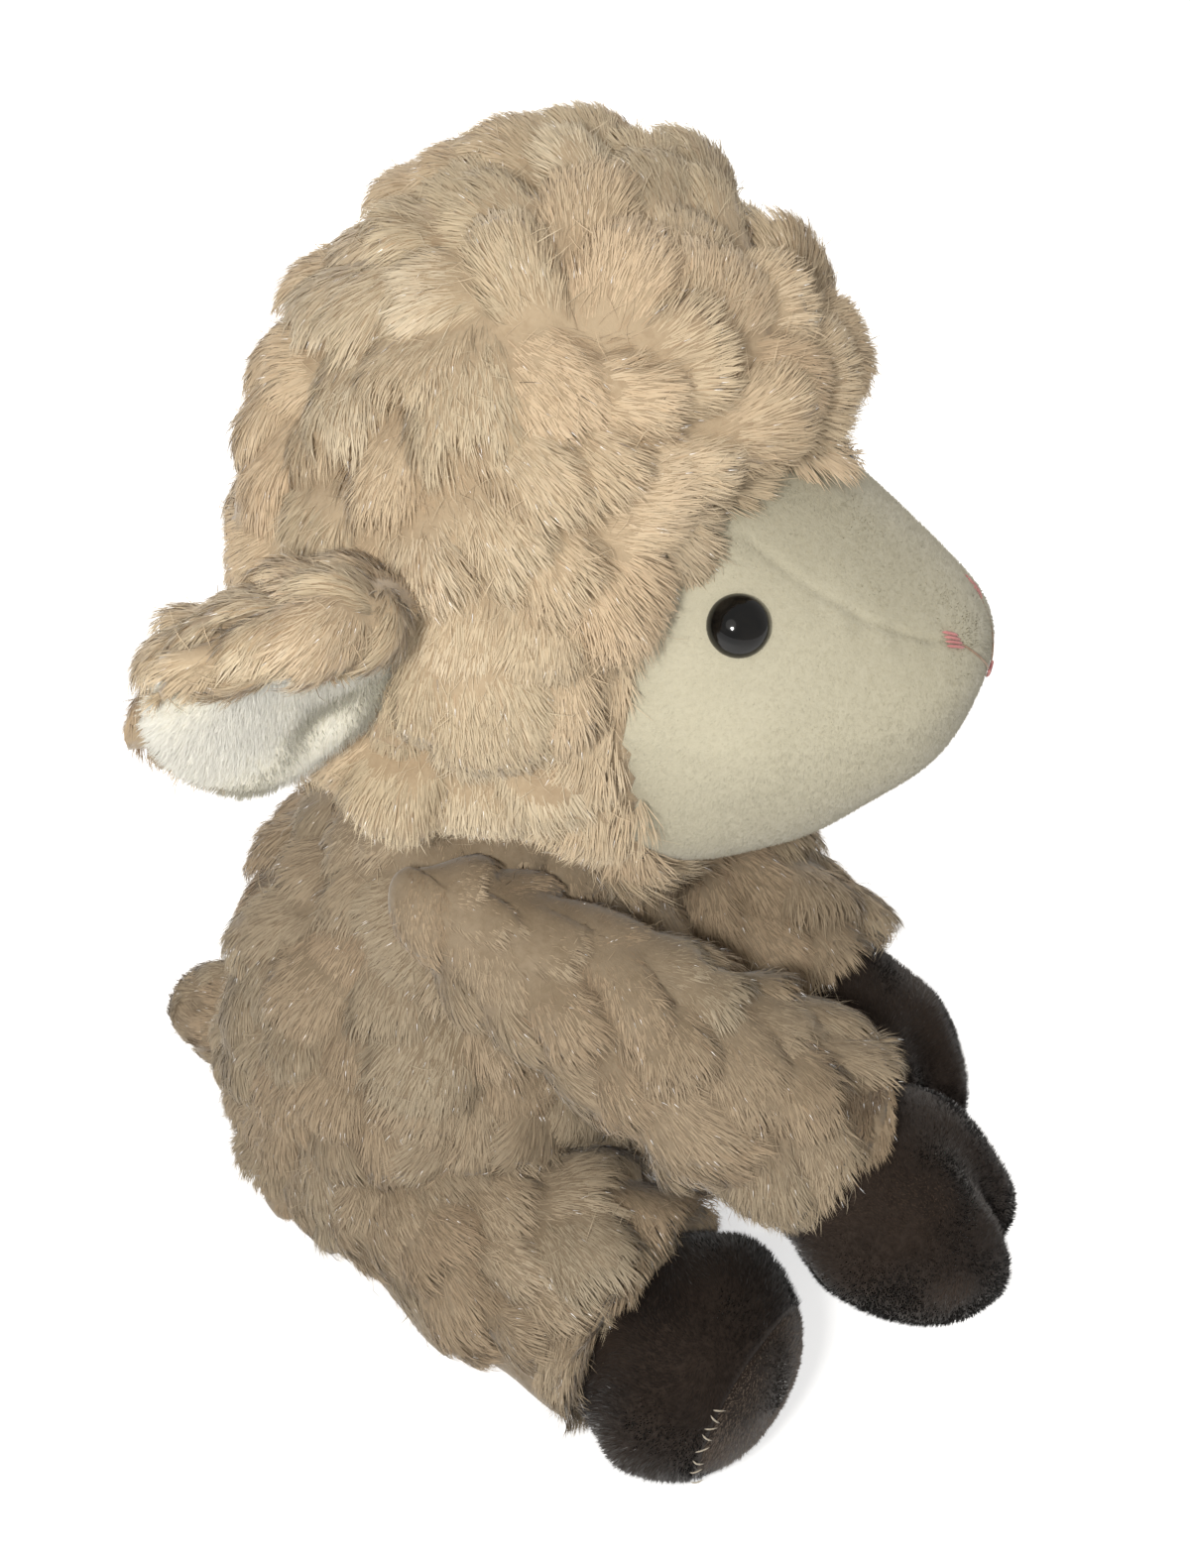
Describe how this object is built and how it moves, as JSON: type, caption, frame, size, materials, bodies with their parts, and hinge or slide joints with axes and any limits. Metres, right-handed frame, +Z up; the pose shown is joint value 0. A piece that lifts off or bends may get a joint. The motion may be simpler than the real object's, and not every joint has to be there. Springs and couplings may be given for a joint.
{
  "type": "plush sheep",
  "caption": "Seated stuffed toy sheep: woolly hood, body, arms and legs, short-pile face with safety eyes, cloven hooves, lined ears and a stub tail.",
  "frame": {"origin": "middle of the flat seat under the torso, on the surface that the toy sits on", "axes": "+Z up from the seat to the crown of the head, -Y the way the face looks, +X the toy's left side"},
  "size_m": [0.174, 0.1735, 0.225],
  "materials": {
    "wool": "long combed pile",
    "stuffing": "loose fibre",
    "pellet_cloth": "plain weave",
    "face_cloth": "short pile",
    "ear_cloth": "medium pile",
    "hoof_cloth": "short brushed pile",
    "nose_thread": "satin thread",
    "eye_plastic": "polished",
    "washer_plastic": "as moulded"
  },
  "bodies": {
    "torso": {"torso_cover": "wool", "torso_filling": "stuffing", "pellet_bag": "pellet_cloth"},
    "neck": {"neck_stuffing": "stuffing"},
    "head": {"head_hood": "wool", "head_filling": "stuffing", "face_bridge": "face_cloth", "face_cheek_left": "face_cloth", "face_cheek_right": "face_cloth", "nose_stitching": "nose_thread", "eye_left": "eye_plastic", "eye_right": "eye_plastic", "eye_washer_left": "washer_plastic", "eye_washer_right": "washer_plastic"},
    "ear_left": {"ear_outer_left": "wool", "ear_lining_left": "ear_cloth"},
    "ear_right": {"ear_outer_right": "wool", "ear_lining_right": "ear_cloth"},
    "arm_left": {"arm_cover_left": "wool", "arm_filling_left": "stuffing", "fore_hoof_left": "hoof_cloth"},
    "arm_right": {"arm_cover_right": "wool", "arm_filling_right": "stuffing", "fore_hoof_right": "hoof_cloth"},
    "leg_left": {"leg_cover_left": "wool", "leg_filling_left": "stuffing", "hind_hoof_left": "hoof_cloth", "hind_sole_left": "hoof_cloth"},
    "leg_right": {"leg_cover_right": "wool", "leg_filling_right": "stuffing", "hind_hoof_right": "hoof_cloth", "hind_sole_right": "hoof_cloth"},
    "tail": {"tail": "wool"}
  },
  "joints": [
    {"name": "neck_turn", "type": "hinge", "parent": "torso", "child": "neck", "pos_m": [0, 0, 0.117], "axis": [0, 0, 1], "range_deg": [-20, 20], "stiffness_Nm_per_rad": 0.6},
    {"name": "neck_nod", "type": "hinge", "parent": "neck", "child": "head", "pos_m": [0, 0, 0.117], "axis": [-1, 0, 0], "range_deg": [-8, 8], "stiffness_Nm_per_rad": 1.2},
    {"name": "shoulder_left", "type": "hinge", "parent": "torso", "child": "arm_left", "pos_m": [0.038, 0, 0.09594], "axis": [-0.4695, 0, 0.8829], "range_deg": [-1, 24], "stiffness_Nm_per_rad": 0.3},
    {"name": "shoulder_right", "type": "hinge", "parent": "torso", "child": "arm_right", "pos_m": [-0.038, -0.00774, 0.09594], "axis": [-0.4695, 0, -0.8829], "range_deg": [-1, 24], "stiffness_Nm_per_rad": 0.3},
    {"name": "hip_left", "type": "hinge", "parent": "torso", "child": "leg_left", "pos_m": [0.031, -0.0043, 0.0254], "axis": [0, 0, 1], "range_deg": [-3, 16], "stiffness_Nm_per_rad": 0.3},
    {"name": "hip_right", "type": "hinge", "parent": "torso", "child": "leg_right", "pos_m": [-0.031, -0.0043, 0.0254], "axis": [0, 0, -1], "range_deg": [-3, 16], "stiffness_Nm_per_rad": 0.3},
    {"name": "ear_left", "type": "hinge", "parent": "head", "child": "ear_left", "pos_m": [0.05358, 0.01318, 0.15945], "axis": [0, -1, 0], "range_deg": [-15, 15], "stiffness_Nm_per_rad": 0.08},
    {"name": "ear_right", "type": "hinge", "parent": "head", "child": "ear_right", "pos_m": [-0.05358, 0.01318, 0.15945], "axis": [0, 1, 0], "range_deg": [-15, 15], "stiffness_Nm_per_rad": 0.08},
    {"name": "tail_wag", "type": "hinge", "parent": "torso", "child": "tail", "pos_m": [0, 0.04062, 0.02], "axis": [0, 0, 1], "range_deg": [-15, 15], "stiffness_Nm_per_rad": 0.03}
  ]
}
